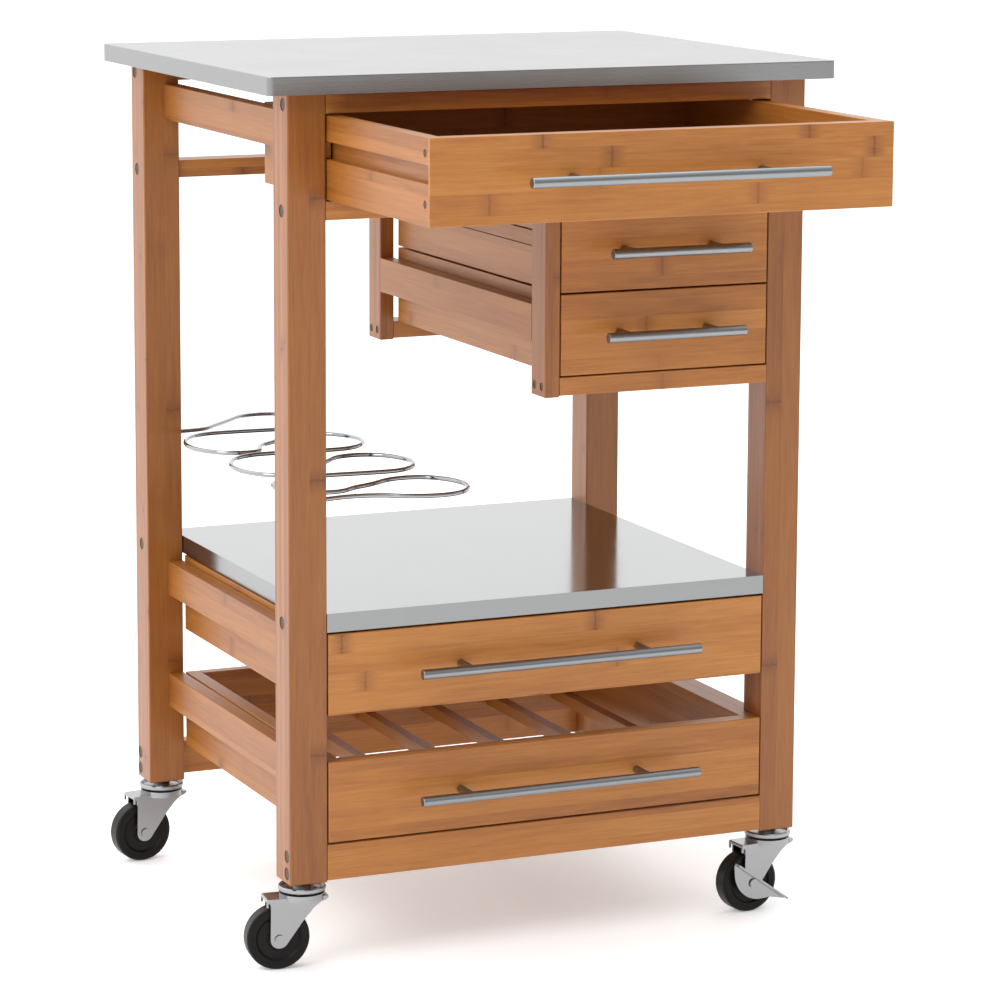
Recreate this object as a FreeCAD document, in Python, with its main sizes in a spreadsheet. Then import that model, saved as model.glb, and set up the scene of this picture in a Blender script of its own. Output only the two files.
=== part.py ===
"""Rolling kitchen cart: a wooden frame with five drawers, a steel worktop and shelf, a wire rack
and four swivel casters. Millimetres, +Z up. Z = 0 is the floor, X = 0 is the middle of the width,
and Y = 0 is the middle of the depth that the cart takes up with its top drawer pulled out."""
import FreeCAD, Part
import math
import os
import re
from FreeCAD import Placement, Rotation, Vector

# ---------------------------------------------------------------- driving dimensions
DIMENSIONS = {
    # frame
    "frame_width": 550.0, "frame_depth": 458.0, "front_plane": -111.0,
    "post_size": 39.0, "post_base": 86.0, "post_length": 767.0,
    "post_ease": 1.6, "foot_ease": 1.2, "edge_ease": 0.8,
    # steel-clad worktop and shelf
    "worktop_width": 600.0, "worktop_depth": 492.0, "worktop_thick": 18.0,
    "worktop_front": 17.0, "worktop_corner": 5.0, "skin": 0.8,
    "shelf_rise": 248.0, "shelf_thick": 18.5,
    # rails across the width
    "rail_high": 18.0, "top_rail_rise": 747.5, "top_rail_deep": 24.0,
    "mid_rail_rise": 646.5, "mid_rail_deep": 33.0,
    "bottom_rail_rise": 2.0, "bottom_rail_high": 35.5, "bottom_rail_deep": 18.0,
    # rails along the depth, tenoned into the posts
    "side_rail_thick": 16.0, "side_rail_high": 36.5, "tenon": 8.0, "tenon_shoulder": 4.0,
    "top_side_rise": 708.5, "shelf_side_rise": 203.5, "rack_side_rise": 82.0, "unit_side_rise": 514.5,
    # hanging unit that holds the two small drawers
    "stile_left": -7.5, "stile_width": 16.0, "stile_ease": 1.5, "unit_foot": 462.0, "unit_rail_rise": 463.5,
    # drawers
    "front_high": 80.0, "front_thick": 16.0, "front_lip": 3.0, "side_gap": 1.2,
    "drawer_depth": 416.0, "side_thick": 15.0, "back_thick": 12.0,
    "panel_thick": 5.0, "panel_rise": 8.0, "panel_slot": 5.0,
    "groove_high": 17.0, "groove_deep": 8.0, "groove_rise": 38.5,
    "runner_high": 15.0, "runner_deep": 6.8, "runner_front": 5.0, "runner_long": 446.0,
    "top_drawer_rise": 665.8, "top_drawer_pull": 248.0,
    "small_upper_rise": 564.8, "small_lower_rise": 483.0,
    "lower_drawer_rise": 165.8, "rack_drawer_rise": 39.5,
    "slat_size": 12.0, "slat_rise": 13.5, "slat_pitch": 78.0, "slat_slot": 3.0,
    "plug_dia": 7.6, "plug_deep": 2.0,
    # bar handles
    "bar_dia": 10.0, "bar_out": 32.0, "bar_end_ease": 0.8, "standoff_dia": 8.0,
    "long_bar": 300.0, "long_span": 192.0, "short_bar": 150.0, "short_span": 96.0,
    # fasteners
    "cap_dia": 12.6, "small_cap_dia": 8.4, "cap_thick": 2.0, "cap_sunk": 0.6,
    "head_dia": 11.0, "small_head_dia": 7.6, "head_high": 4.0,
    "shank_dia": 6.0, "small_shank_dia": 4.0, "bite": 34.0,
    # wire rack
    "wire_dia": 4.6, "wire_rise": 376.0, "wire_period": 138.0, "wire_right": -76.0, "wire_left": -255.0,
    # casters
    "stem_dia": 10.0, "stem_up": 42.0, "race_dia": 47.0, "race_low": 76.0, "race_high": 82.0,
    "neck_dia": 18.0, "crown_low": 69.0, "crown_high": 72.0, "crown_race_dia": 45.0,
    "crown_race_high": 75.0, "rivet_dia": 16.0, "rivet_low": 65.5, "rivet_high": 68.5,
    "running_gap": 0.05, "trail": 25.5, "wheel_dia": 63.0, "wheel_wide": 19.0,
    "fork_inside": 22.0, "fork_outside": 26.0, "axle_dia": 6.0, "axle_head_dia": 9.4,
    "cheek_gap": 0.4, "cheek_thick": 1.6, "lip_wide": 8.0, "axle_head_high": 1.8,
}

DRAWERS = ("top", "small_upper", "small_lower", "lower", "rack")
PLACES = ("front_left", "front_right", "back_left", "back_right")
BRAKED = ("front_right", "back_right")
# how far each caster has swung from trailing straight towards -X, in degrees
SWIVEL = {"front_left": -7.0, "front_right": 5.0, "back_left": 6.0, "back_right": -3.0}

doc = FreeCAD.newDocument("kitchen_cart")
sheet = doc.addObject("Spreadsheet::Sheet", "Dim")
for row, (alias, value) in enumerate(DIMENSIONS.items(), start=1):
    sheet.set("A%d" % row, alias)
    sheet.set("B%d" % row, str(value))
    sheet.setAlias("B%d" % row, alias)
doc.recompute()

parts = {}


def d(alias):
    """Value of a driving dimension, as a plain number."""
    return float(sheet.get(alias))


def bound(text):
    """An expression over the sheet's aliases, as FreeCAD writes it."""
    return re.sub(r"[a-z][a-z_]*", lambda word: "Dim." + word.group(0), str(text))


def bind(item, **sizes):
    for name, text in sizes.items():
        item.setExpression(name, bound(text))
    return item


def put(item, x, y, z, turn=None):
    """Places an item by expressions, after an optional fixed turn."""
    if turn is not None:
        item.Placement = Placement(Vector(), turn)
    for axis, text in zip("xyz", (x, y, z)):
        item.setExpression("Placement.Base." + axis, bound(text))
    return item


def keep(label, item):
    """Names a finished sub-part."""
    item.Label = label
    parts[label] = item
    return item


def box(name, corner, size):
    item = doc.addObject("Part::Box", name)
    bind(item, Length=size[0], Width=size[1], Height=size[2])
    return put(item, *corner)


ALONG = {
    "x": Rotation(Vector(0, 1, 0), 90),
    "-x": Rotation(Vector(0, 1, 0), -90),
    "y": Rotation(Vector(1, 0, 0), -90),
    "z": Rotation(),
    "-z": Rotation(Vector(1, 0, 0), 180),
}


def rod(name, start, radius, length, way):
    """A cylinder that starts at a point and runs one way."""
    item = doc.addObject("Part::Cylinder", name)
    bind(item, Radius=radius, Height=length)
    return put(item, *start, turn=ALONG[way])


def group(name, items):
    item = doc.addObject("Part::Compound", name)
    item.Links = items
    return item


def fuse(name, items):
    item = doc.addObject("Part::MultiFuse", name)
    item.Shapes = items
    item.Refine = True
    return item


def cut(name, base, tool):
    item = doc.addObject("Part::Cut", name)
    item.Base = base
    item.Tool = tool
    return item


def edges_where(item, wanted):
    """Numbers of the edges whose two end points pass a test."""
    doc.recompute()
    return [
        number
        for number, edge in enumerate(item.Shape.Edges, start=1)
        if wanted(edge.Vertexes[0].Point, edge.Vertexes[-1].Point)
    ]


def rounded(name, base, radius, wanted, kind="Part::Fillet"):
    item = doc.addObject(kind, name)
    item.Base = base
    item.Edges = [(number, radius, radius) for number in edges_where(base, wanted)]
    return item


def upright(a, b):
    return abs(a.x - b.x) + abs(a.y - b.y) < 1e-6


def along_x(a, b):
    return abs(a.y - b.y) + abs(a.z - b.z) < 1e-6


def along_y(a, b):
    return abs(a.x - b.x) + abs(a.z - b.z) < 1e-6


def eased(name, base, wanted):
    """The wood's sharp edges, lightly sanded."""
    return rounded(name, base, d("edge_ease"), wanted)


# ---------------------------------------------------------------- places that many parts share
BACK = "(front_plane + frame_depth)"
INNER = "(frame_width/2 - post_size)"
STEM_X = "(frame_width/2 - post_size/2)"
STEM_Y = {"front": "front_plane + post_size/2", "back": BACK + " - post_size/2"}
OPENINGS = {"wide": ("-" + INNER, INNER), "small": ("stile_left + stile_width", INNER)}


def opening(drawer):
    return OPENINGS["small" if drawer.startswith("small") else "wide"]


def rise(drawer):
    name = drawer + "_rise" if drawer.startswith("small") else drawer + "_drawer_rise"
    return "post_base + " + name


def drawer_front(drawer):
    """Y of a drawer's front face: the top drawer stands pulled out."""
    return "front_plane - top_drawer_pull" if drawer == "top" else "front_plane"


# ---------------------------------------------------------------- fasteners of the frame
def side_screw(name, x, y, z, way, small=False):
    """A screw that goes in through a post or stile from its outer face, and its cap."""
    size = "small_" if small else ""
    sign = 1 if way == "x" else -1
    through = "stile_width" if small else "post_size"
    head_from = "%s + %d*(cap_sunk + cap_thick)" % (x, sign)
    shank_from = "%s + %d*(cap_sunk + cap_thick + head_high)" % (x, sign)
    cap = rod(name + "_cap", ("%s + %d*cap_sunk" % (x, sign), y, z), size + "cap_dia/2", "cap_thick", way)
    head = rod(name + "_head", (head_from, y, z), size + "head_dia/2", "head_high", way)
    length = "%s - cap_sunk - cap_thick - head_high + bite" % through
    shank = rod(name + "_shank", (shank_from, y, z), size + "shank_dia/2", length, way)
    sink = rod(name + "_sink", (x, y, z), size + "cap_dia/2", "cap_sunk + cap_thick + head_high", way)
    return cap, fuse(name, [head, shank]), sink


# where the screws go: across the width at each rail's middle, and the shelf's
SCREW_LEVELS = {
    "top": ("top_rail_rise + rail_high/2", "top_rail_deep/2"),
    "mid": ("mid_rail_rise + rail_high/2", "mid_rail_deep/2"),
    "shelf": ("shelf_rise + shelf_thick/2", "post_size/2"),
    "bottom_a": ("bottom_rail_rise + bottom_rail_high*0.73", "bottom_rail_deep/2"),
    "bottom_b": ("bottom_rail_rise + bottom_rail_high*0.25", "bottom_rail_deep/2"),
}
caps, screws, sinks = [], [], []


def add_screw(*place, **kind):
    for pile, item in zip((caps, screws, sinks), side_screw(*place, **kind)):
        pile.append(item)


for end, side in [(e, s) for e in ("front", "back") for s in ("left", "right")]:
    face, way = ("-frame_width/2", "x") if side == "left" else ("frame_width/2", "-x")
    for level, (high, deep) in SCREW_LEVELS.items():
        y = "front_plane + " + deep if end == "front" else BACK + " - " + deep
        add_screw("screw_%s_%s_%s" % (end, side, level), face, y, "post_base + " + high, way)
    if side == "right":
        y = "front_plane + mid_rail_deep/2" if end == "front" else BACK + " - mid_rail_deep/2"
        add_screw("screw_%s_unit" % end, face, y, "post_base + unit_rail_rise + rail_high/2", way)
    else:
        for share in ("0.25", "0.75"):
            deep = "mid_rail_deep*" + share
            y = "front_plane + " + deep if end == "front" else BACK + " - " + deep
            add_screw("screw_%s_stile_%s" % (end, share[2:]), "stile_left", y,
                      "post_base + unit_rail_rise + rail_high/2", "x", small=True)

# screws that hold the stiles under the rails, from above
for end in ("front", "back"):
    for share in ("0.25", "0.75"):
        deep = "mid_rail_deep*" + share
        y = "front_plane + " + deep if end == "front" else BACK + " - " + deep
        top = "post_base + mid_rail_rise + rail_high"
        name = "hanger_%s_%s" % (end, share[2:])
        head = rod(name + "_head", ("stile_left + stile_width/2", y, top), "small_head_dia/2", "head_high", "-z")
        shank = rod(name + "_shank", ("stile_left + stile_width/2", y, top + " - head_high"),
                    "small_shank_dia/2", "bite", "-z")
        screws.append(fuse(name, [head, shank]))

keep("screw_caps", group("screw_caps", caps))
keep("frame_screws", group("frame_screws", screws))

# ---------------------------------------------------------------- caster stems, fixed in the posts
def turned(name, profile, plane, turn_axis):
    """A body of revolution from a closed outline of (radius, height) points."""
    body = doc.addObject("PartDesign::Body", name)
    sketch = body.newObject("Sketcher::SketchObject", name + "_outline")
    origin_planes = {feature.Role: feature for feature in body.Origin.OriginFeatures}
    sketch.AttachmentSupport = [(origin_planes[plane], "")]
    sketch.MapMode = "FlatFace"
    points = [Vector(radius, height, 0) for radius, height in profile]
    for start, end in zip(points, points[1:] + points[:1]):
        sketch.addGeometry(Part.LineSegment(start, end), False)
    doc.recompute()
    solid = body.newObject("PartDesign::Revolution", name + "_turned")
    solid.Profile = sketch
    solid.ReferenceAxis = (sketch, [turn_axis])
    solid.Angle = 360.0
    body.Tip = solid
    return body


def stem_profile():
    stem, race, neck, rivet = (d(n) / 2 for n in ("stem_dia", "race_dia", "neck_dia", "rivet_dia"))
    rim_thick, dish = 1.6, 2.2
    return [
        (0, d("rivet_low")), (rivet - 1, d("rivet_low")), (rivet, d("rivet_low") + 1),
        (rivet, d("rivet_high")), (stem, d("rivet_high")), (stem, d("race_low")),
        (race - 2, d("race_low")), (race, d("race_low") + 2), (race, d("race_high") - 1),
        (race - 1, d("race_high")), (race - rim_thick - 1, d("race_high")),
        (race - rim_thick - dish, d("race_high") - dish), (neck, d("race_high") - dish),
        (neck, d("post_base")), (stem, d("post_base")), (stem, d("post_base") + d("stem_up")),
        (0, d("post_base") + d("stem_up")),
    ]


def caster_spot(place):
    end, side = place.split("_")
    return ("-" if side == "left" else "") + STEM_X, STEM_Y[end]


stems = []
for place in PLACES:
    stem = turned("stem_" + place, stem_profile(), "XZ_Plane", "V_Axis")
    stems.append(put(stem, *caster_spot(place), "0"))
keep("caster_stems", group("caster_stems", stems))


# ---------------------------------------------------------------- wire rack between the left posts
def bend(start, heading, end):
    """The arc that leaves a point along a heading and reaches another point."""
    chord = end - start
    side = heading - chord * (heading.dot(chord) / chord.dot(chord))
    if side.Length < 1e-6:
        return Part.makeLine(start, end)
    sagitta = chord.Length / 2 * math.tan(heading.getAngle(chord) / 2)
    middle = (start + end) / 2 + side.normalize() * sagitta
    return Part.Arc(start, middle, end).toShape()


def smooth_path(stations):
    """Pairs of tangent arcs through points (x, y, heading in degrees) in a level plane."""
    edges = []
    level = d("post_base") + d("wire_rise")
    points = [Vector(x, d("front_plane") + y, level) for x, y, _ in stations]
    headings = [Vector(math.cos(math.radians(a)), math.sin(math.radians(a)), 0) for _, _, a in stations]
    for p, q, out, into in zip(points, points[1:], headings, headings[1:]):
        span, both = q - p, out + into
        opened = 2 * (1 - out.dot(into))
        if opened < 1e-6:
            reach = span.dot(span) / (4 * span.dot(into))
        else:
            root = math.sqrt(span.dot(both) ** 2 + opened * span.dot(span))
            reach = (root - span.dot(both)) / opened
        meet = (p + q + (out - into) * reach) / 2
        last = bend(q, into * -1, meet)
        edges += [bend(p, out, meet), last]
    return Part.Wire(Part.__sortEdges__(edges))


def wire_stations():
    """The rack's path from the front left post to the back left post: four loops to the right
    with three to the left between them."""
    right, left, period = d("wire_right"), d("wire_left"), d("wire_period")
    inner_face = -d("frame_width") / 2 + d("post_size")
    into_post = inner_face - 12
    stations = [(into_post, 12, 0), (-204, 18, 0)]
    for turn in range(4):
        y = turn * period
        stations += [(right - 44, y - 9, 0), (right, y + 41, 90), (right - 42, y + 91, 180)]
        if turn < 3:
            low, far = (46, 89) if turn == 0 else (y + 9, y + 62)
            stations += [((right + left) / 2 - 10, y + 50 if turn else 64, 214 if turn else 202),
                         (left + 44, low, 180), (left, far, 90), (left + 56, y + 133, 0)]
    stations += [(-178, 3 * period + 48, 224), (-214, 3 * period + 21, 190), (into_post, 3 * period + 19, 180)]
    return stations


wire_path = smooth_path(wire_stations())
first_edge = wire_path.Edges[0]
ring = Part.Wire(Part.makeCircle(d("wire_dia") / 2, first_edge.Vertexes[0].Point, Vector(1, 0, 0)))
wire_rack = doc.addObject("Part::Feature", "wire_rack")
wire_rack.Shape = wire_path.makePipeShell([ring], True, True)
keep("wire_rack", wire_rack)

# everything that is let into the wooden frame
let_in = fuse("let_in", sinks + screws + stems + [wire_rack])


# ---------------------------------------------------------------- posts and rails
def post(place):
    end, side = place.split("_")
    x = "-frame_width/2" if side == "left" else "frame_width/2 - post_size"
    y = "front_plane" if end == "front" else BACK + " - post_size"
    blank = box("blank_" + place, (x, y, "post_base"), ("post_size", "post_size", "post_length"))
    column = rounded("column_" + place, blank, d("post_ease"), upright)
    base = d("post_base") + 0.01
    return rounded("foot_" + place, column, d("foot_ease"), lambda a, b: max(a.z, b.z) < base, "Part::Chamfer")


def cross_rail(label, end, level, high, deep, start="-" + INNER):
    y = "front_plane" if end == "front" else BACK + " - " + deep
    blank = box(label + "_blank", (start, y, "post_base + " + level), (INNER + " - (" + start + ")", deep, high))
    keep(label, cut(label, eased(label + "_eased", blank, along_x), let_in))


def side_rail(label, x, level, run_from, run_to):
    """A rail along the depth, with a stub tenon at each end."""
    z = "post_base + " + level
    body = box(label + "_body", (x, run_from, z), ("side_rail_thick", "%s - (%s)" % (run_to, run_from), "side_rail_high"))
    tongue = box(label + "_tongue",
                 (x + " + tenon_shoulder", run_from + " - tenon", z + " + tenon_shoulder"),
                 ("side_rail_thick - 2*tenon_shoulder", "%s - (%s) + 2*tenon" % (run_to, run_from),
                  "side_rail_high - 2*tenon_shoulder"))
    return fuse(label, [eased(label + "_eased", body, along_y), tongue])


after_post, before_post = "front_plane + post_size", BACK + " - post_size"
after_stile, before_stile = "front_plane + mid_rail_deep", BACK + " - mid_rail_deep"
side_rails = {"left": [], "right": []}
for side, x in (("left", "-" + INNER + " - side_rail_thick"), ("right", INNER)):
    for level in ("top", "shelf", "rack"):
        label = "%s_%s_side_rail" % (side, level)
        side_rails[side].append(side_rail(label, x, level + "_side_rise", after_post, before_post))
for number, level in enumerate(("top", "shelf", "rack")):
    label = level + "_side_rails"
    keep(label, group(label, [rails[number] for rails in side_rails.values()]))
unit_left = side_rail("unit_left_side_rail", "stile_left", "unit_side_rise", after_stile, before_stile)
unit_right = side_rail("unit_right_side_rail", INNER, "unit_side_rise", after_post, before_post)
side_rails["right"].append(unit_right)
keep("unit_side_rails", group("unit_side_rails", [unit_left, unit_right]))

for place in PLACES:
    mortices = group("mortices_" + place, side_rails[place.split("_")[1]])
    bored = cut("bored_" + place, post(place), let_in)
    keep("post_" + place, cut("post_" + place, bored, mortices))

for end in ("front", "back"):
    cross_rail(end + "_top_rail", end, "top_rail_rise", "rail_high", "top_rail_deep")
    cross_rail(end + "_middle_rail", end, "mid_rail_rise", "rail_high", "mid_rail_deep")
    cross_rail(end + "_bottom_rail", end, "bottom_rail_rise", "bottom_rail_high", "bottom_rail_deep")
    cross_rail("unit_%s_rail" % end, end, "unit_rail_rise", "rail_high", "mid_rail_deep",
               start="stile_left + stile_width")

for end, y in (("front", "front_plane"), ("back", BACK + " - mid_rail_deep")):
    blank = box("stile_blank_" + end, ("stile_left", y, "post_base + unit_foot"),
                ("stile_width", "mid_rail_deep", "mid_rail_rise - unit_foot"))
    low = d("post_base") + d("unit_foot") + 0.01
    stile = rounded("stile_eased_" + end, blank, d("stile_ease"),
                    lambda a, b: upright(a, b) or max(a.z, b.z) < low)
    bored = cut("stile_bored_" + end, stile, let_in)
    keep("unit_%s_stile" % end, cut("unit_%s_stile" % end, bored, unit_left))

# ---------------------------------------------------------------- wooden runners for the drawers
runners = []
for drawer in DRAWERS:
    left, right = opening(drawer)
    z = "%s + groove_rise + (groove_high - runner_high)/2" % rise(drawer)
    for side, x in (("left", left), ("right", right + " - runner_deep")):
        strip = box("runner_%s_%s" % (drawer, side), (x, "front_plane + runner_front", z),
                    ("runner_deep", "runner_long", "runner_high"))
        runners.append(eased("runner_eased_%s_%s" % (drawer, side), strip, along_y))
keep("drawer_runners", group("drawer_runners", runners))


# ---------------------------------------------------------------- boards with a folded steel skin
def clad_board(label, corner, size, corner_radius):
    """A wooden board and the steel skin folded over its top and its four edges."""
    x, y, z = corner
    wide, deep, thick = size
    outer = box(label + "_outer", corner, size)
    inner = box(label + "_inner", (x + " + skin", y + " + skin", z),
                (wide + " - 2*skin", deep + " - 2*skin", thick + " - skin"))
    if corner_radius:
        outer = rounded(label + "_outer_round", outer, corner_radius, upright)
        top = d("post_base") + d("post_length") + d("worktop_thick") - 0.01
        outer = rounded(label + "_outer_edge", outer, d("skin") * 1.5, lambda a, b: min(a.z, b.z) > top)
        inner = rounded(label + "_inner_round", inner, corner_radius - d("skin"), upright)
        top -= d("skin")
        inner = rounded(label + "_inner_edge", inner, d("skin") * 0.8, lambda a, b: min(a.z, b.z) > top)
    shell = cut(label + "_shell", outer, inner)
    return inner, shell


board, skin = clad_board(
    "worktop", ("-worktop_width/2", "front_plane - worktop_front", "post_base + post_length"),
    ("worktop_width", "worktop_depth", "worktop_thick"), d("worktop_corner"))
keep("worktop_board", board)
keep("worktop_skin", skin)
board, skin = clad_board(
    "shelf", ("-" + INNER, "front_plane", "post_base + shelf_rise"),
    ("2*" + INNER, "frame_depth", "shelf_thick"), 0)
keep("shelf_board", cut("shelf_board", board, let_in))
keep("shelf_skin", cut("shelf_skin", skin, let_in))


# ---------------------------------------------------------------- drawers
def bar_handle(drawer, middle, bar, span):
    """A bar on two standoffs, with the two screws that come through the front."""
    face, z = drawer_front(drawer), rise(drawer) + " + front_high/2"
    stick = rod(drawer + "_bar", ("%s - %s/2" % (middle, bar), face + " - bar_out", z), "bar_dia/2", bar, "x")
    pieces = [rounded(drawer + "_bar_eased", stick, d("bar_end_ease"), lambda a, b: (a - b).Length < 1e-6)]
    for sign in ("-", "+"):
        x = "%s %s %s/2" % (middle, sign, span)
        foot = rod(drawer + "_standoff" + sign, (x, face + " - bar_out", z), "standoff_dia/2", "bar_out", "y")
        pieces.append(cut(drawer + "_foot" + sign, foot, stick))
        thread = rod(drawer + "_thread" + sign, (x, face, z), "small_shank_dia/2", "front_thick", "y")
        head = rod(drawer + "_screw_head" + sign, (x, face + " + front_thick", z), "small_head_dia/2", "2.5", "y")
        pieces.append(fuse(drawer + "_handle_screw" + sign, [thread, head]))
    return pieces


def joint_screws(drawer, left, right):
    """Four screws through the sides into the front, two on each side, and the holes over their heads."""
    pieces, holes = [], []
    for side, x, way, sign in (("left", left, "x", "+"), ("right", right, "-x", "-")):
        for high in ("20", "66"):
            y, z = drawer_front(drawer) + " + front_thick*0.65", rise(drawer) + " + " + high
            name = "%s_joint_%s_%s" % (drawer, side, high)
            under = "%s %s plug_deep" % (x, sign)
            head = rod(name + "_head", (under, y, z), "small_head_dia/2", "3", way)
            shank = rod(name + "_shank", (under, y, z), "small_shank_dia/2", "bite", way)
            pieces.append(fuse(name, [head, shank]))
            holes.append(rod(name + "_hole", (x, y, z), "plug_dia/2", "plug_deep", way))
    return pieces, holes


def build_drawer(drawer):
    low_side, high_side = opening(drawer)
    left, right = low_side + " + side_gap", high_side + " - side_gap"
    width = "(%s - (%s) - 2*side_gap)" % (high_side, low_side)
    face, base = drawer_front(drawer), rise(drawer)
    middle = "(%s + %s)/2" % (low_side, high_side)
    small = drawer.startswith("small")
    bar, span = ("short_bar", "short_span") if small else ("long_bar", "long_span")
    shift = {"small_upper": " + 2.5", "small_lower": " - 2"}.get(drawer, "")
    handle = bar_handle(drawer, "(" + middle + shift + ")", bar, span)
    screws_in, holes = joint_screws(drawer, left, right)
    keep(drawer + "_hardware", group(drawer + "_hardware", handle + screws_in))
    drilled = fuse(drawer + "_drilled", handle[1:] + screws_in + holes)

    if drawer == "rack":
        slats = [
            box("rack_slat_%d" % number,
                ("%s*slat_pitch - slat_size/2" % offset, face + " + front_thick - slat_slot",
                 base + " + slat_rise"),
                ("slat_size", "drawer_depth - front_thick - back_thick + 2*slat_slot", "slat_size"))
            for number, offset in enumerate(("-2.5", "-1.5", "-0.5", "0.5", "1.5", "2.5"), start=1)
        ]
        floor = keep("rack_slats", group("rack_slats", slats))
    else:
        floor = keep(drawer + "_bottom", box(
            drawer + "_bottom",
            (left + " + side_thick - panel_slot", face + " + front_thick - panel_slot", base + " + panel_rise"),
            (width + " - 2*side_thick + 2*panel_slot",
             "drawer_depth - front_thick - back_thick + 2*panel_slot", "panel_thick")))

    slotted = fuse(drawer + "_slotted", [drilled, floor])
    blank = box(drawer + "_front_blank", (left, face, base), (width, "front_thick", "front_high"))
    laps = [
        box("%s_lap_%s" % (drawer, side), (x, face + " + front_lip", base),
            ("side_thick", "front_thick - front_lip", "front_high"))
        for side, x in (("left", left), ("right", right + " - side_thick"))
    ]
    face_y = d("front_plane") - (d("top_drawer_pull") if drawer == "top" else 0) + 0.01
    smooth = eased(drawer + "_front_eased", blank, lambda a, b: max(a.y, b.y) < face_y)
    lapped = cut(drawer + "_lapped", smooth, group(drawer + "_laps", laps))
    keep(drawer + "_front", cut(drawer + "_front", lapped, slotted))

    walls = []
    for side, x, groove_x in (("left", left, left),
                              ("right", right + " - side_thick", right + " - groove_deep")):
        plank = box("%s_side_%s" % (drawer, side), (x, face + " + front_lip", base),
                    ("side_thick", "drawer_depth - front_lip", "front_high"))
        groove = box("%s_groove_%s" % (drawer, side), (groove_x, face + " + front_lip", base + " + groove_rise"),
                     ("groove_deep", "drawer_depth - front_lip", "groove_high"))
        grooved = cut("%s_grooved_%s" % (drawer, side), eased("%s_plank_%s" % (drawer, side), plank, along_y), groove)
        walls.append(cut("%s_wall_%s" % (drawer, side), grooved, slotted))
    back = box(drawer + "_back_blank", (left + " + side_thick", face + " + drawer_depth - back_thick", base),
               (width + " - 2*side_thick", "back_thick", "front_high"))
    walls.append(cut(drawer + "_back", back, slotted))
    keep(drawer + "_box", group(drawer + "_box", walls))


for drawer in DRAWERS:
    build_drawer(drawer)


# ---------------------------------------------------------------- casters
def outline_plate(name, wires, width):
    """A plate across Y from a closed outline in the XZ plane, centred on Y = 0."""
    item = doc.addObject("Part::Extrusion", name)
    sketch = doc.addObject("Sketcher::SketchObject", name + "_outline")
    sketch.Placement = Placement(Vector(), Rotation(Vector(1, 0, 0), 90))
    for piece in wires:
        sketch.addGeometry(piece, False)
    item.Base = sketch
    item.DirMode = "Custom"
    item.Dir = Vector(0, 1, 0)
    item.Solid = True
    item.Symmetric = True
    return bind(item, LengthFwd=width)


def lines(points):
    flat = [Vector(x, z, 0) for x, z in points]
    return [Part.LineSegment(a, b) for a, b in zip(flat, flat[1:])]


def fork(place):
    """Crown and two legs in the caster's own frame, with the stem's axis at X = 0."""
    axle_x, axle_z, end_radius = -d("trail"), d("wheel_dia") / 2, 9.0
    crown_low, crown_high = d("crown_low"), d("crown_high")
    front_foot = (axle_x - end_radius, axle_z)
    back_foot = (axle_x + end_radius * 0.8, axle_z - end_radius * 0.6)
    end = Part.Arc(Vector(*front_foot, 0), Vector(axle_x, axle_z - end_radius, 0), Vector(*back_foot, 0))
    shape = [
        back_foot, (0, 51), (9, 61), (16, crown_low - 2.5), (21, crown_low - 1), (23.5, crown_low + 1),
        (23.5, crown_high), (-37, crown_high), (-38, crown_high - 1), (-38, crown_low - 5),
        (-36.5, crown_low - 5), (-36.5, crown_low - 1), (-34, crown_low - 1.5), front_foot,
    ]
    solid = outline_plate("fork_plate_" + place, lines(shape) + [end], "fork_outside")
    inside = box("fork_inside_" + place, ("-60", "-fork_inside/2", "0"), ("120", "fork_inside", "crown_low"))
    legs = cut("fork_legs_" + place, solid, inside)
    race = rod("fork_race_" + place, ("0", "0", "crown_low"), "crown_race_dia/2",
               "crown_race_high - crown_low", "z")
    holes = group("fork_holes_" + place, [
        rod("fork_bore_" + place, ("0", "0", "0"), "stem_dia/2 + running_gap", "post_base", "z"),
        rod("fork_axle_bore_" + place, ("-trail", "-fork_outside", "wheel_dia/2"),
            "axle_dia/2", "2*fork_outside", "y"),
    ])
    return cut("fork_" + place, fuse("fork_crown_" + place, [legs, race]), holes)


def axle(place):
    """The axle, longer on the outer side of a caster with a brake lever."""
    extra = " + 2*cheek_gap + cheek_thick" if place in BRAKED else ""
    near = "-(fork_outside/2%s)" % extra
    bar = rod("axle_bar_" + place, ("-trail", near, "wheel_dia/2"),
              "axle_dia/2", "fork_outside" + extra, "y")
    heads = [
        rod("axle_head_%s_%s" % (place, side), ("-trail", y, "wheel_dia/2"),
            "axle_head_dia/2", "axle_head_high", "y")
        for side, y in (("near", near + " - axle_head_high"), ("far", "fork_outside/2"))
    ]
    return fuse("axle_" + place, [bar] + heads)


def wheel_profile():
    rim, half, bore = d("wheel_dia") / 2, d("wheel_wide") / 2, d("axle_dia") / 2 + d("running_gap")
    hub, web, shoulder, ease = rim * 0.34, rim * 0.66, rim * 0.72, 3.0
    side = [(bore, half), (hub, half), (hub + 1, half - 1.6), (web, half - 2.2), (shoulder, half - 0.4),
            (rim - ease, half), (rim - 0.8, half - 1.0), (rim, half - ease)]
    return side + [(radius, -height) for radius, height in reversed(side)]


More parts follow.
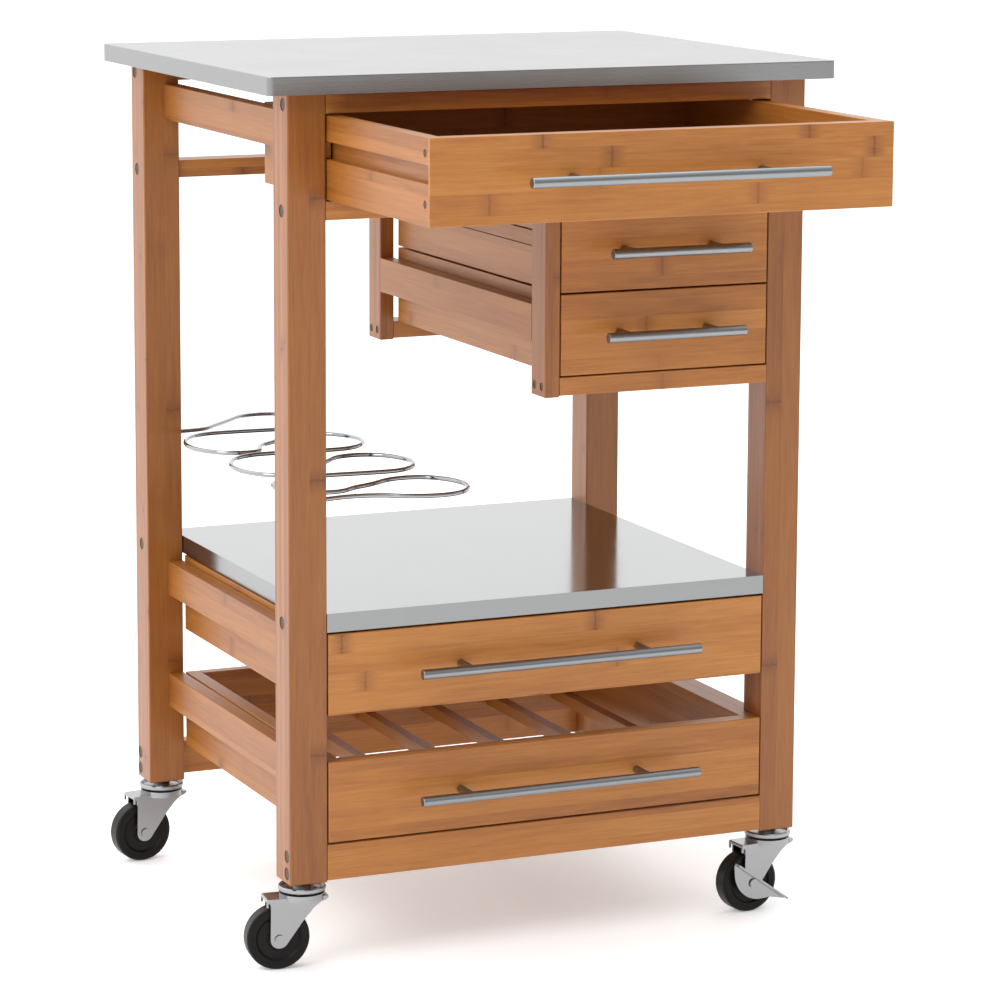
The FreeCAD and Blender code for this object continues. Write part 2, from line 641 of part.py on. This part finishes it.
def brake_lever(place):
    """A D-shaped cheek that turns on the axle outside the fork, with a lip along its straight edge."""
    axle_x, axle_z = -d("trail"), d("wheel_dia") / 2
    start, knee, tip = (-21.5, 21.5), (21, -8.6), (38, -20.7)
    lip_thick = 1.6
    rim = [tip, (20, -17), (8, -17.5)]
    belly = Part.Arc(Vector(axle_x + 8, axle_z - 17.5, 0), Vector(axle_x - 14, axle_z - 8, 0),
                     Vector(axle_x + start[0], axle_z + start[1], 0))
    outline = [(axle_x + x, axle_z + z) for x, z in [start, knee] + rim]
    cheek = outline_plate("cheek_" + place, lines(outline) + [belly], "cheek_thick")
    put(cheek, "0", "-(fork_outside/2 + cheek_gap + cheek_thick/2)", "0")
    over = [(axle_x + x, axle_z + z) for x, z in
            (start, tip, (tip[0] + 1, tip[1] + lip_thick), (start[0] + 1, start[1] + lip_thick), start)]
    lip = outline_plate("lip_" + place, lines(over), "lip_wide")
    put(lip, "0", "-(fork_outside/2 + cheek_gap + lip_wide/2)", "0")
    hole = rod("cheek_bore_" + place, ("-trail", "-2*fork_outside", "wheel_dia/2"),
               "axle_dia/2 + running_gap", "2*fork_outside", "y")
    return cut("lever_" + place, fuse("lever_solid_" + place, [cheek, lip]), hole)


for place in PLACES:
    turn = Rotation(Vector(0, 0, 1), SWIVEL[place])
    spot = caster_spot(place)
    keep("fork_" + place, put(group("fork_set_" + place, [fork(place), axle(place)]), *spot, "0", turn=turn))
    wheel = turned("wheel_" + place, wheel_profile(), "XY_Plane", "V_Axis")
    hub = turn.multVec(Vector(-d("trail"), 0, d("wheel_dia") / 2))
    keep("wheel_" + place, put(wheel, "%s + %.6f" % (spot[0], hub.x), "%s + %.6f" % (spot[1], hub.y),
                               "wheel_dia/2", turn=turn))
    if place in BRAKED:
        keep("brake_lever_" + place, put(group("lever_set_" + place, [brake_lever(place)]), *spot, "0", turn=turn))

# ---------------------------------------------------------------- check and write
doc.recompute()
faults = [item.Name for item in doc.Objects if {"Invalid", "Error"} & set(item.State)]
faults += [label for label, item in parts.items() if not item.Shape.Solids or not item.Shape.isValid()]
if faults:
    raise RuntimeError("failed objects: " + ", ".join(faults))

os.makedirs("parts", exist_ok=True)
whole = FreeCAD.BoundBox()
for label, item in parts.items():
    whole.add(item.Shape.BoundBox)
    item.Shape.exportStep("parts/%s.step" % label)
print("%d sub-parts, box" % len(parts), whole)
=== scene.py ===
"""Looks of the rolling kitchen cart: materials, small fittings, light, floor and camera."""

import math

import bmesh
import bpy
from mathutils import Matrix, Vector


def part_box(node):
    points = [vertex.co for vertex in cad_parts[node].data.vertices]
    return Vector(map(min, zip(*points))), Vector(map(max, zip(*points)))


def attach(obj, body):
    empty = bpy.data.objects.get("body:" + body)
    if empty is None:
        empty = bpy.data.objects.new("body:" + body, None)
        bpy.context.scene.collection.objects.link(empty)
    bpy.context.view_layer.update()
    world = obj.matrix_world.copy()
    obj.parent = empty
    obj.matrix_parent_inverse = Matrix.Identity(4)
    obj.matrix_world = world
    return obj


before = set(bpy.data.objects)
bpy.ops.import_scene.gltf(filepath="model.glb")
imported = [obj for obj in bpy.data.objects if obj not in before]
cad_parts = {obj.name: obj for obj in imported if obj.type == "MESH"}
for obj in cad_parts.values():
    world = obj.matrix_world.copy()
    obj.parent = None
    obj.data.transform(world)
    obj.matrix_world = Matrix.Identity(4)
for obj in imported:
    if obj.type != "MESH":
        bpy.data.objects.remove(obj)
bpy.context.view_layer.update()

PLACES = ("front_left", "front_right", "back_left", "back_right")
DRAWERS = ("top", "small_upper", "small_lower", "lower", "rack")
MM = 0.001


# ---------------------------------------------------------------- shader helpers
class Shader:
    """A new material and short ways to add and link its nodes."""

    def __init__(self, name):
        self.material = bpy.data.materials.new(name)
        self.material.use_nodes = True
        self.tree = self.material.node_tree
        self.tree.nodes.clear()
        self.bsdf = self.add("ShaderNodeBsdfPrincipled")
        output = self.add("ShaderNodeOutputMaterial")
        self.tree.links.new(self.bsdf.outputs[0], output.inputs[0])

    def add(self, kind, **settings):
        node = self.tree.nodes.new(kind)
        for key, value in settings.items():
            setattr(node, key, value)
        return node

    def feed(self, socket, value):
        """Links a socket to an output, or sets it to a plain value."""
        if isinstance(value, bpy.types.NodeSocket):
            self.tree.links.new(value, socket)
        elif value is not None:
            socket.default_value = value

    def math(self, operation, *values, clamp=False):
        node = self.add("ShaderNodeMath", operation=operation, use_clamp=clamp)
        for socket, value in zip(node.inputs, values):
            self.feed(socket, value)
        return node.outputs[0]

    def position(self):
        """The point in the cart's own frame at rest, in metres."""
        return self.add("ShaderNodeTexCoord").outputs["Object"]

    def split(self, vector):
        node = self.add("ShaderNodeSeparateXYZ")
        self.feed(node.inputs[0], vector)
        return node.outputs[:3]

    def join(self, *values):
        node = self.add("ShaderNodeCombineXYZ")
        for socket, value in zip(node.inputs, values):
            self.feed(socket, value)
        return node.outputs[0]

    def noise(self, vector, detail=2.0, rough=0.5, distortion=0.0):
        node = self.add("ShaderNodeTexNoise")
        self.feed(node.inputs["Vector"], vector)
        node.inputs["Scale"].default_value = 1.0
        node.inputs["Detail"].default_value = detail
        node.inputs["Roughness"].default_value = rough
        node.inputs["Distortion"].default_value = distortion
        return node.outputs[0]

    def random(self, *values):
        """A random number and a random colour for each set of whole numbers."""
        node = self.add("ShaderNodeTexWhiteNoise", noise_dimensions="3D")
        self.feed(node.inputs["Vector"], self.join(*values))
        return node.outputs[0], node.outputs[1]

    def remap(self, value, low, high, to_low, to_high, smooth=False):
        node = self.add("ShaderNodeMapRange", clamp=True)
        node.interpolation_type = "SMOOTHSTEP" if smooth else "LINEAR"
        for socket, item in zip(node.inputs, (value, low, high, to_low, to_high)):
            self.feed(socket, item)
        return node.outputs[0]

    def mix(self, factor, first, second, blend="MIX"):
        node = self.add("ShaderNodeMix", data_type="RGBA", blend_type=blend)
        for index, item in ((0, factor), (6, first), (7, second)):
            self.feed(node.inputs[index], item)
        return node.outputs[2]

    def bump(self, height, distance, strength=1.0):
        node = self.add("ShaderNodeBump")
        self.feed(node.inputs["Height"], height)
        node.inputs["Distance"].default_value = distance
        node.inputs["Strength"].default_value = strength
        self.feed(self.bsdf.inputs["Normal"], node.outputs[0])

    def finish(self, **sockets):
        for name, value in sockets.items():
            self.feed(self.bsdf.inputs[name.replace("_", " ")], value)
        return self.material


def rgb(red, green, blue):
    return (red, green, blue, 1.0)


# ---------------------------------------------------------------- bamboo
# the wood's tones from light fibre to dark, and the dark rib of a knuckle (linear colours)
BAMBOO_PALE = (0.520, 0.226, 0.046)
BAMBOO_MID = (0.395, 0.143, 0.020)
BAMBOO_DEEP = (0.215, 0.062, 0.007)
KNUCKLE = (0.100, 0.026, 0.004)
STRIP_WIDE = 19.5 * MM          # one glued strip across its face
STRIP_THICK = 6.5 * MM          # and through the board
STRIP_SWAY = 1.2 * MM           # how far a glue line wanders
KNUCKLE_EVERY = 0.27            # metres between knuckles along one strip
KNUCKLE_SPREAD = 7.0            # shifts each strip's knuckles against its neighbours'
KNUCKLE_UNEVEN = 0.010          # unevenness, rib and halo as shares of KNUCKLE_EVERY
RIB_HALF, HALO_HALF = 0.008, 0.062
STRIP_SEED = 3.7
STRIP_SHIFT = 9.0               # moves the fibre pattern from strip to strip
# fibre patterns: (waves a metre along the grain, across it, detail, roughness of the noise)
WAVER = (3.0, 9.0, 2.0, 0.5)
FINE = (55.0, 1500.0, 3.0, 0.62)
STREAK = (17.0, 330.0, 3.0, 0.55)
DRIFT = (4.0, 26.0, 2.0, 0.5)
WOBBLE = (30.0, 190.0, 2.0, 0.5)
# how much each of them, and the strip's own shade, moves the tone
SHADE_AMOUNT, DRIFT_AMOUNT, STREAK_AMOUNT, FINE_AMOUNT = 0.34, 0.55, 0.62, 0.50
GLUE_TONE = 0.30
WOOD_BUMP = 0.12 * MM
# the axes along the grain, across a strip and through the strips, for grain along X, Y or Z
GRAIN_ORDER = {"x": (0, 2, 1), "y": (1, 2, 0), "z": (2, 0, 1)}


def bamboo(name, grain, light=(1.0, 1.0, 1.0), crosswise=None, rough=0.42, coat=0.2):
    """Laminated bamboo: strips glued side by side and in layers, with fibre streaks and knuckles.
    light multiplies the tones, coat is the lacquer's weight, and crosswise is a box (low, high)
    in which the grain runs along X instead."""
    s = Shader(name)
    pale, mid, deep, knuckle = (rgb(*(a * b for a, b in zip(light, tint)))
                                for tint in (BAMBOO_PALE, BAMBOO_MID, BAMBOO_DEEP, KNUCKLE))
    axes = s.split(s.position())
    along, across, layer = (axes[i] for i in GRAIN_ORDER[grain])
    if crosswise:
        low, high = crosswise
        inside = 1.0
        for axis, a, b in zip(axes, low, high):
            inside = s.math("MULTIPLY", inside, s.math("GREATER_THAN", axis, a))
            inside = s.math("MULTIPLY", inside, s.math("LESS_THAN", axis, b))
        turned = [axes[i] for i in GRAIN_ORDER["x"]]
        blended = []
        for plain, other in zip((along, across, layer), turned):
            gap = s.math("SUBTRACT", other, plain)
            blended.append(s.math("MULTIPLY_ADD", gap, inside, plain))
        along, across, layer = blended

    def fibres(pattern, shift=None):
        """Noise drawn out along the grain, moved along it by shift."""
        lengthwise, sideways, detail, rough_noise = pattern
        if shift is None:
            length = s.math("MULTIPLY", along, lengthwise)
        else:
            length = s.math("MULTIPLY_ADD", along, lengthwise, shift)
        point = s.join(length, s.math("MULTIPLY", across, sideways),
                       s.math("MULTIPLY", layer, sideways))
        return s.noise(point, detail=detail, rough=rough_noise)

    def centred(value):
        return s.math("SUBTRACT", value, 0.5)

    # each strip of each layer has its own tone, and its own places for its knuckles
    sway = s.math("MULTIPLY", centred(fibres(WAVER)), STRIP_SWAY)
    strip = s.math("DIVIDE", s.math("ADD", across, sway), STRIP_WIDE)
    sheet = s.math("DIVIDE", s.math("ADD", layer, sway), STRIP_THICK)
    strip_number, sheet_number = s.math("FLOOR", strip), s.math("FLOOR", sheet)
    one, three = s.random(strip_number, sheet_number, STRIP_SEED)
    offset, depth, shade = s.split(three)

    # fibres: fine streaks, broader streaks and slow drifts of tone along the strip
    shift = s.math("MULTIPLY", one, STRIP_SHIFT)
    fine, streak, drift = (fibres(pattern, shift) for pattern in (FINE, STREAK, DRIFT))

    # knuckles: a thin dark rib with a soft shade on both sides, missing from some strips
    beat = s.math("ADD", s.math("DIVIDE", along, KNUCKLE_EVERY),
                  s.math("MULTIPLY", offset, KNUCKLE_SPREAD))
    beat = s.math("ADD", beat, s.math("MULTIPLY", centred(fibres(WOBBLE)), KNUCKLE_UNEVEN))
    near = s.math("ABSOLUTE", centred(s.math("FRACT", beat)))
    rib = s.remap(near, 0.0, RIB_HALF, 1.0, 0.0, smooth=True)
    halo = s.remap(near, 0.0, HALO_HALF, 1.0, 0.0, smooth=True)
    weight = s.remap(depth, 0.40, 1.0, 0.0, 1.0)

    level = 0.5
    for value, amount in ((shade, SHADE_AMOUNT), (drift, DRIFT_AMOUNT),
                          (streak, STREAK_AMOUNT), (fine, FINE_AMOUNT)):
        level = s.math("MULTIPLY_ADD", centred(value), amount, level)
    ramp = s.add("ShaderNodeValToRGB")
    s.feed(ramp.inputs[0], level)
    stops = ramp.color_ramp.elements
    stops[0].position, stops[0].color = 0.05, deep
    stops[1].position, stops[1].color = 0.95, pale
    stops.new(0.5).color = mid
    color = ramp.outputs[0]
    halo_tone = s.remap(streak, 0.35, 0.7, 0.30, 0.95)
    color = s.mix(s.math("MULTIPLY", s.math("MULTIPLY", halo, weight), halo_tone), color, deep)
    rib_tone = s.remap(fine, 0.3, 0.7, 0.25, 0.80)
    color = s.mix(s.math("MULTIPLY", s.math("MULTIPLY", rib, weight), rib_tone), color, knuckle)

    # a faint glue line between strips
    glue = s.remap(s.math("ABSOLUTE", centred(s.math("FRACT", strip))), 0.482, 0.5, 0.0, 1.0)
    color = s.mix(s.math("MULTIPLY", glue, GLUE_TONE), color, deep)

    height = s.math("ADD", fine, s.math("MULTIPLY", streak, 0.6))
    s.bump(s.math("MULTIPLY_ADD", glue, -0.8, height), WOOD_BUMP, 0.35)
    roughness = s.remap(fine, 0.2, 0.8, rough - 0.06, rough + 0.10)
    return s.finish(Base_Color=color, Roughness=roughness, Coat_Weight=coat, Coat_Roughness=0.26,
                    Specular_IOR_Level=0.45)


# ---------------------------------------------------------------- metal, plastic and board
EVEN_GRAIN, BRUSH_ACROSS, BRUSH_ALONG, METAL_CLOUDS = 700.0, 2200.0, 9.0, 11.0   # waves a metre


def scaled(s, axes, scales):
    """The point, stretched by a number on each axis."""
    return s.join(*[s.math("MULTIPLY", axis, scale) for axis, scale in zip(axes, scales)])


def metal(name, tint, rough, brush=None, brush_depth=0.02, cloud=0.03, painted_edge_shade=None):
    """Metal with a brushed direction (an axis number) or a fine even finish. brush_depth is in
    millimetres, and the tone given for the edges is a painted shade: a sheet's upright bent-down
    edges are made that much darker than its flat, standing in for the lesser light on them."""
    s = Shader(name)
    axes = s.split(s.position())
    scales = [EVEN_GRAIN] * 3
    if brush is not None:
        scales = [BRUSH_ACROSS] * 3
        scales[brush] = BRUSH_ALONG
    fine = s.noise(scaled(s, axes, scales), detail=3.0, rough=0.6)
    slow = s.noise(scaled(s, axes, [METAL_CLOUDS] * 3), detail=3.0, rough=0.6)
    shade = s.math("MULTIPLY_ADD", s.math("SUBTRACT", fine, 0.5), 0.16, 1.0)
    # painted shade: faces standing upright, the sheet's bent-down edges, are darkened, standing in
    # for the lesser light that falls on them
    if painted_edge_shade:
        level = s.math("ABSOLUTE", s.split(s.add("ShaderNodeTexCoord").outputs["Normal"])[2])
        shade = s.math("MULTIPLY", shade, s.remap(level, 0.3, 0.8, painted_edge_shade, 1.0))
    color = s.mix(1.0, rgb(*tint), s.join(shade, shade, shade), blend="MULTIPLY")
    roughness = s.math("MULTIPLY_ADD", s.math("SUBTRACT", fine, 0.5), 0.18, rough)
    roughness = s.math("MULTIPLY_ADD", s.math("SUBTRACT", slow, 0.5), cloud * 4, roughness)
    s.bump(fine, brush_depth * MM, 0.5)
    return s.finish(Base_Color=color, Metallic=1.0, Roughness=roughness)


PLAIN_CLOUDS = 24.0             # waves a metre


def plain(name, tint, rough, grain=900.0, depth=0.05, spread=0.25, spec=0.5):
    """Moulded plastic or raw board: a fine texture with slow changes of tone. grain is in waves
    a metre and depth in millimetres."""
    s = Shader(name)
    axes = s.split(s.position())
    fine = s.noise(scaled(s, axes, [grain] * 3), detail=3.0, rough=0.6)
    slow = s.noise(scaled(s, axes, [PLAIN_CLOUDS] * 3), detail=3.0)
    shade = s.math("MULTIPLY_ADD", s.math("SUBTRACT", fine, 0.5), spread, 1.0)
    shade = s.math("MULTIPLY_ADD", s.math("SUBTRACT", slow, 0.5), spread, shade)
    color = s.mix(1.0, rgb(*tint), s.join(shade, shade, shade), blend="MULTIPLY")
    s.bump(fine, depth * MM, 0.5)
    roughness = s.math("MULTIPLY_ADD", s.math("SUBTRACT", slow, 0.5), 0.2, rough)
    return s.finish(Base_Color=color, Roughness=roughness, Specular_IOR_Level=spec)


# ---------------------------------------------------------------- dress the CAD nodes
def dress(node, material):
    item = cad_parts[node]
    item.data.materials.clear()
    item.data.materials.append(material)


# tones and lacquer of the parts whose grain runs along each axis; posts are the darkest.
# The darker tones of the posts and of the Y-grain side rails, runners and slats are partly
# the bamboo's own tone and partly painted shade.
WOOD_LIGHT = {"x": ((0.96, 0.93, 0.90), 0.2), "y": ((0.74, 0.68, 0.60), 0.15),
              "z": ((0.66, 0.58, 0.50), 0.3)}
BOX_LIGHT, BOTTOM_LIGHT = (0.82, 0.78, 0.72), (0.8, 0.78, 0.75)
wood = {axis: bamboo("bamboo_" + axis, axis, light, coat=coat)
        for axis, (light, coat) in WOOD_LIGHT.items()}
WOOD_NODES = {
    "x": ["front_top_rail", "front_middle_rail", "front_bottom_rail", "back_top_rail",
          "back_middle_rail", "back_bottom_rail", "unit_front_rail", "unit_back_rail"]
         + [drawer + "_front" for drawer in DRAWERS],
    "y": ["top_side_rails", "shelf_side_rails", "rack_side_rails", "unit_side_rails",
          "drawer_runners", "rack_slats"],
    "z": ["post_" + place for place in PLACES] + ["unit_front_stile", "unit_back_stile"],
}
for axis, nodes in WOOD_NODES.items():
    for node in nodes:
        dress(node, wood[axis])

BACK_PANEL = 12 * MM
SIDE_PANEL = 15 * MM
for drawer in DRAWERS:
    low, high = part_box(drawer + "_box")
    back = ((low[0] + SIDE_PANEL, high[1] - BACK_PANEL - 0.1 * MM, low[2] - 1),
            (high[0] - SIDE_PANEL, high[1] + 1, high[2] + 1))
    dress(drawer + "_box", bamboo("bamboo_box_" + drawer, "y", BOX_LIGHT, crosswise=back))
    if drawer != "rack":
        dress(drawer + "_bottom", bamboo("bamboo_bottom_" + drawer, "x", BOTTOM_LIGHT, rough=0.55))

# the sheets' edge tones darken their upright edges as painted shade
brushed = metal("brushed_sheet", (0.345, 0.348, 0.348), 0.29, brush=0, painted_edge_shade=0.80)
smooth = metal("smooth_sheet", (0.345, 0.350, 0.353), 0.13, brush=0, brush_depth=0.005,
               painted_edge_shade=0.74)
nickel = metal("satin_nickel", (0.285, 0.298, 0.312), 0.34, brush=0)
chrome = metal("chrome", (0.34, 0.345, 0.355), 0.10, brush_depth=0.002)
zinc = metal("zinc_plate", (0.33, 0.335, 0.345), 0.22)
dark_cap = plain("dark_plug", (0.060, 0.022, 0.010), 0.5)
board = plain("raw_board", (0.40, 0.26, 0.14), 0.7, grain=500.0)
rubber = plain("wheel_black", (0.0075, 0.006, 0.005), 0.36, grain=1400.0, depth=0.03, spread=0.5,
               spec=0.16)

dress("worktop_skin", brushed)
dress("shelf_skin", smooth)
dress("worktop_board", board)
dress("shelf_board", board)
dress("wire_rack", chrome)
dress("caster_stems", zinc)
dress("frame_screws", zinc)
dress("screw_caps", dark_cap)
for place in PLACES:
    dress("fork_" + place, zinc)
    dress("wheel_" + place, rubber)
    if place.endswith("right"):
        dress("brake_lever_" + place, zinc)
for drawer in DRAWERS:
    dress(drawer + "_hardware", nickel)

# ---------------------------------------------------------------- plugs over the drawers' screws
PLUG_RADIUS, PLUG_THICK, PLUG_SUNK = 3.7 * MM, 1.4 * MM, 0.35 * MM
PLUG_BACK = 10.4 * MM           # behind the front's face
PLUG_HEIGHTS = (20 * MM, 66 * MM)


def turned_mesh(work, outline, center, way, steps=32):
    """Adds a turned solid: outline is (radius, height) from the axis out and back to the axis,
    and the solid stands on center along way."""
    turn = Vector((0, 0, 1)).rotation_difference(Vector(way)).to_matrix()
    rings = []
    for radius, height in outline:
        if radius == 0:
            rings.append([work.verts.new(Vector(center) + turn @ Vector((0, 0, height)))])
            continue
        ring = []
        for step in range(steps):
            angle = 2 * math.pi * step / steps
            local = Vector((radius * math.cos(angle), radius * math.sin(angle), height))
            ring.append(work.verts.new(Vector(center) + turn @ local))
        rings.append(ring)
    for lower, upper in zip(rings, rings[1:]):
        for step in range(steps):
            after = (step + 1) % steps
            if len(lower) == 1:
                work.faces.new((lower[0], upper[after], upper[step]))
            elif len(upper) == 1:
                work.faces.new((lower[step], lower[after], upper[0]))
            else:
                work.faces.new((lower[step], lower[after], upper[after], upper[step]))


def add_piece(name, work, material, body):
    """Makes a smooth-shaded object of the mesh and lets it ride on a body."""
    mesh = bpy.data.meshes.new(name)
    bmesh.ops.recalc_face_normals(work, faces=work.faces[:])
    work.to_mesh(mesh)
    work.free()
    mesh.materials.append(material)
    mesh.shade_smooth()
    mesh.set_sharp_from_angle(angle=math.radians(35))
    item = bpy.data.objects.new(name, mesh)
    bpy.context.scene.collection.objects.link(item)
    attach(item, body)


PLUG_OUTLINE = [(0, 0), (PLUG_RADIUS, 0), (PLUG_RADIUS, PLUG_THICK * 0.75),
                (PLUG_RADIUS * 0.9, PLUG_THICK * 0.95), (0, PLUG_THICK)]
for drawer in DRAWERS:
    low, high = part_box(drawer + "_front")
    work = bmesh.new()
    for x, way in ((low[0] + PLUG_SUNK + PLUG_THICK, (-1, 0, 0)),
                   (high[0] - PLUG_SUNK - PLUG_THICK, (1, 0, 0))):
        for height in PLUG_HEIGHTS:
            turned_mesh(work, PLUG_OUTLINE, (x, low[1] + PLUG_BACK, low[2] + height), way)
    add_piece("plugs_" + drawer, work, dark_cap, drawer + "_drawer")

# ---------------------------------------------------------------- floor, light and camera
FLOOR_HALF, FLOOR_LEVEL = 40.0, -0.0002     # metres, just under the wheels
FLOOR_GLOW = 0.26                           # keeps the pale floor white under soft light


def stage_floor():
    """A plain white floor."""
    mesh = bpy.data.meshes.new("floor")
    work = bmesh.new()
    corners = ((-1, -1), (1, -1), (1, 1), (-1, 1))
    work.faces.new([work.verts.new((x * FLOOR_HALF, y * FLOOR_HALF, FLOOR_LEVEL))
                    for x, y in corners])
    work.to_mesh(mesh)
    work.free()
    floor = bpy.data.objects.new("floor", mesh)
    bpy.context.scene.collection.objects.link(floor)
    s = Shader("floor_white")
    mesh.materials.append(s.finish(
        Base_Color=rgb(0.93, 0.93, 0.93), Roughness=0.75, Specular_IOR_Level=0.2,
        Emission_Color=rgb(1.0, 1.0, 1.0), Emission_Strength=FLOOR_GLOW))


def softbox(name, place, target, size, power):
    light = bpy.data.lights.new(name, "AREA")
    light.shape = "RECTANGLE"
    light.size, light.size_y = size
    light.energy = power
    item = bpy.data.objects.new(name, light)
    item.location = place
    way = Vector(target) - Vector(place)
    item.rotation_euler = way.to_track_quat("-Z", "Y").to_euler()
    bpy.context.scene.collection.objects.link(item)


def studio():
    """Soft light from above, from the left and from behind, with a darker room in front."""
    world = bpy.data.worlds.new("studio")
    bpy.context.scene.world = world
    world.use_nodes = True
    tree = world.node_tree
    nodes, links = tree.nodes, tree.links
    way = nodes.new("ShaderNodeSeparateXYZ")
    links.new(nodes.new("ShaderNodeTexCoord").outputs["Generated"], way.inputs[0])

    def ramp(axis, low, high, to_low, to_high):
        node = nodes.new("ShaderNodeMapRange")
        node.interpolation_type = "SMOOTHSTEP"
        links.new(way.outputs[axis], node.inputs[0])
        for socket, value in zip(node.inputs[1:5], (low, high, to_low, to_high)):
            socket.default_value = value
        return node.outputs[0]

    def total(first, second):
        node = nodes.new("ShaderNodeMath")
        node.operation = "ADD"
        links.new(first, node.inputs[0])
        links.new(second, node.inputs[1])
        return node.outputs[0]

    above = ramp(2, -0.05, 1.0, 0.0, 0.55)
    behind = ramp(1, -0.7, 0.8, 0.24, 1.20)
    left = ramp(0, -0.9, 0.5, 0.55, 0.0)
    background = nodes["Background"]
    background.inputs[0].default_value = rgb(1.0, 1.0, 1.0)
    links.new(total(total(above, behind), left), background.inputs[1])
    softbox("key", (-3.4, -1.6, 3.0), (0, 0, 0.45), (2.2, 2.2), 60)
    softbox("top", (0.2, 0.6, 3.6), (0, 0.1, 0.4), (3.0, 3.0), 25)


FOCAL = 3.838          # focal length over the image's width
YAW, PITCH, ROLL = 23.54, 8.92, 0.19
EYE = (-1.5508, -3.4706, 1.1463)
SHIFT = (0.03, -0.12)  # shares of the image's width


def make_camera():
    data = bpy.data.cameras.new("camera")
    data.sensor_width = 36.0
    data.lens = 36.0 * FOCAL
    data.shift_x, data.shift_y = SHIFT
    data.clip_end = 200.0
    camera = bpy.data.objects.new("camera", data)
    turn = (Matrix.Rotation(math.radians(-YAW), 3, "Z")
            @ Matrix.Rotation(math.radians(90 - PITCH), 3, "X")
            @ Matrix.Rotation(math.radians(ROLL), 3, "Z"))
    camera.matrix_world = Matrix.Translation(EYE) @ turn.to_4x4()
    bpy.context.scene.collection.objects.link(camera)
    bpy.context.scene.camera = camera


stage_floor()
studio()
make_camera()
bpy.context.scene.view_settings.view_transform = "Standard"
